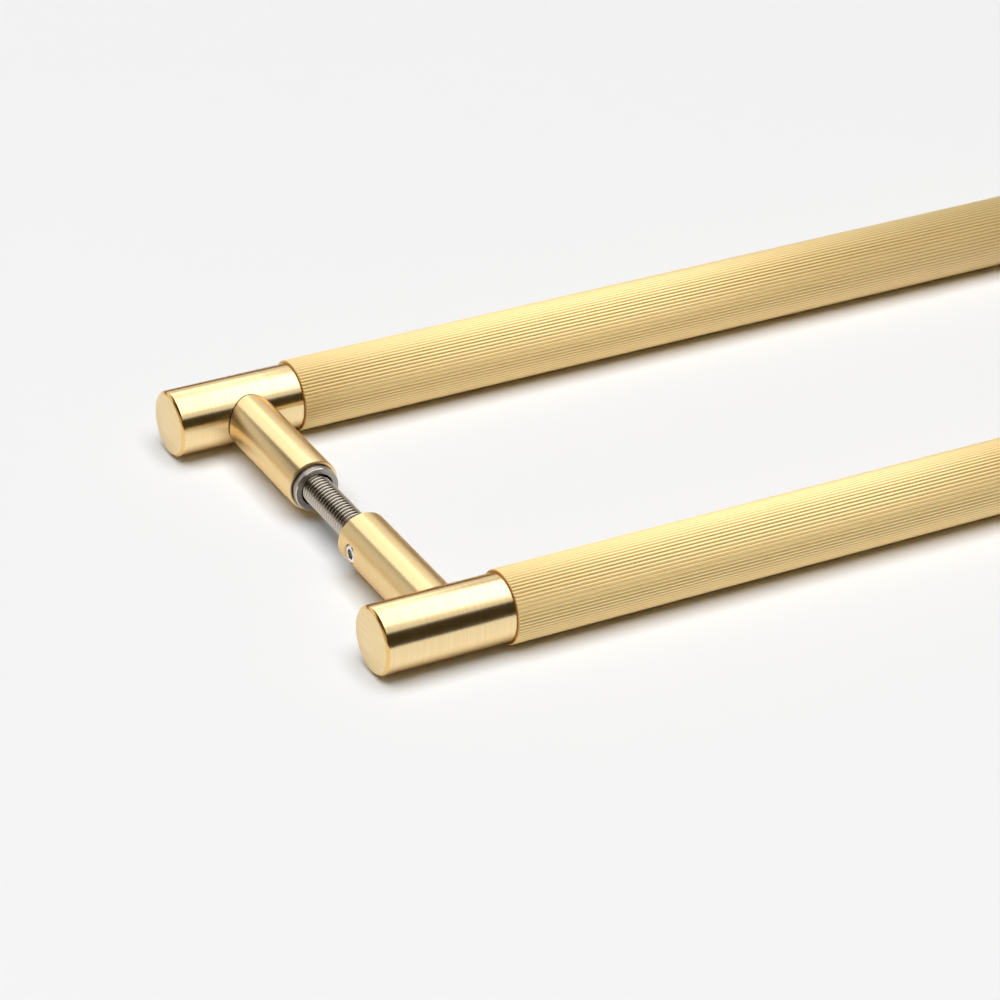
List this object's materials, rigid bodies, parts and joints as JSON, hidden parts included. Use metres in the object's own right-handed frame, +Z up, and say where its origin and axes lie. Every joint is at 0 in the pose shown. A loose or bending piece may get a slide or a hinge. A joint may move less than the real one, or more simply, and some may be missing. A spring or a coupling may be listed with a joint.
{
  "type": "door pull",
  "caption": "Back-to-back bar pull for a door: straight-knurled brass grips on round posts, joined through the door by threaded rods.",
  "frame": {"origin": "on the surface that the pull lies on, midway between the two bars and midway between their ends", "axes": "+X along the bars, +Y from the near bar through the door to the far bar, +Z up from the surface"},
  "size_m": [0.34, 0.135, 0.019],
  "materials": {
    "knurled_brass": "satin, straight knurled",
    "turned_brass": "satin turned, end faces brushed in straight lines, polished edge chamfers",
    "satin_brass": "smooth satin",
    "stainless_insert": "fine turned",
    "stainless_thread": "rolled thread",
    "screw_steel": "polished",
    "plain_steel": "plain, hidden"
  },
  "bodies": {
    "root": {"near_grip_tube": "knurled_brass", "near_left_end_fitting": "turned_brass", "near_right_end_fitting": "turned_brass", "near_left_post": "satin_brass", "near_right_post": "satin_brass", "near_left_post_stud": "plain_steel", "near_right_post_stud": "plain_steel", "near_left_grub_screw": "screw_steel", "near_right_grub_screw": "screw_steel", "far_grip_tube": "knurled_brass", "far_left_end_fitting": "turned_brass", "far_right_end_fitting": "turned_brass", "far_left_post": "satin_brass", "far_right_post": "satin_brass", "far_left_post_stud": "plain_steel", "far_right_post_stud": "plain_steel", "far_left_threaded_insert": "stainless_insert", "far_right_threaded_insert": "stainless_insert", "left_threaded_rod": "stainless_thread", "right_threaded_rod": "stainless_thread"}
  },
  "joints": []
}
